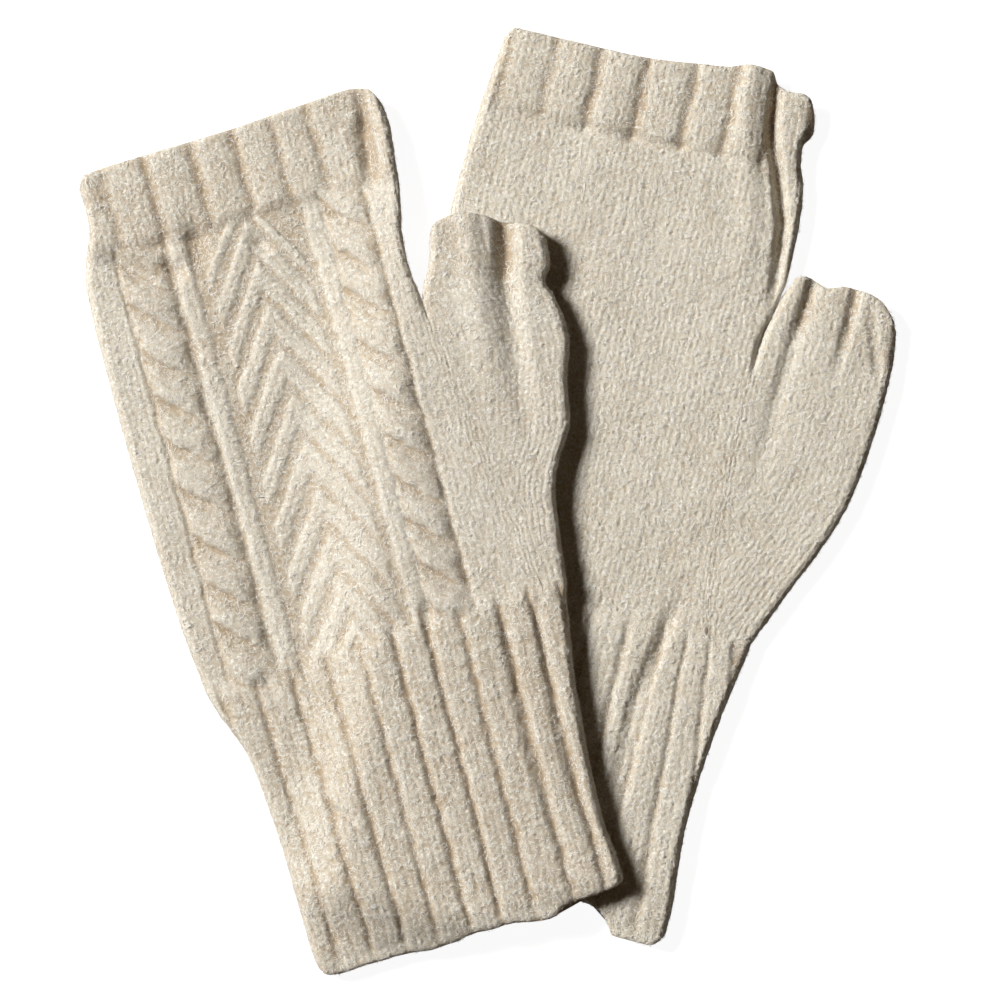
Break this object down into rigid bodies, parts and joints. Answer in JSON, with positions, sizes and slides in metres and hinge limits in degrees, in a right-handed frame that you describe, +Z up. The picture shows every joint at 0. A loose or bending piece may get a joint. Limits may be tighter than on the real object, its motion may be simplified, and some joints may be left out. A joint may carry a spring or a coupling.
{
  "type": "pair of fingerless knitted mittens",
  "caption": "Fingerless wool mittens with ribbed bands and short open thumbs, laid flat, the cabled back of one across the plain palm of the other.",
  "frame": {"origin": "middle of the pair's footprint, on the surface that it lies on", "axes": "+X to the right of the layout, +Y towards the finger ends, +Z up from the surface"},
  "size_m": [0.2208, 0.2546, 0.0141],
  "materials": {
    "cream_wool": "matt, softly brushed wool knit"
  },
  "bodies": {
    "root": {"front_knuckle_rib": "cream_wool", "front_back_panel": "cream_wool", "front_palm_panel": "cream_wool", "front_thumb": "cream_wool", "front_thumb_rib": "cream_wool", "front_wrist_rib": "cream_wool", "rear_knuckle_rib": "cream_wool", "rear_back_panel": "cream_wool", "rear_palm_panel": "cream_wool", "rear_thumb": "cream_wool", "rear_thumb_rib": "cream_wool", "rear_wrist_rib": "cream_wool"}
  },
  "joints": []
}
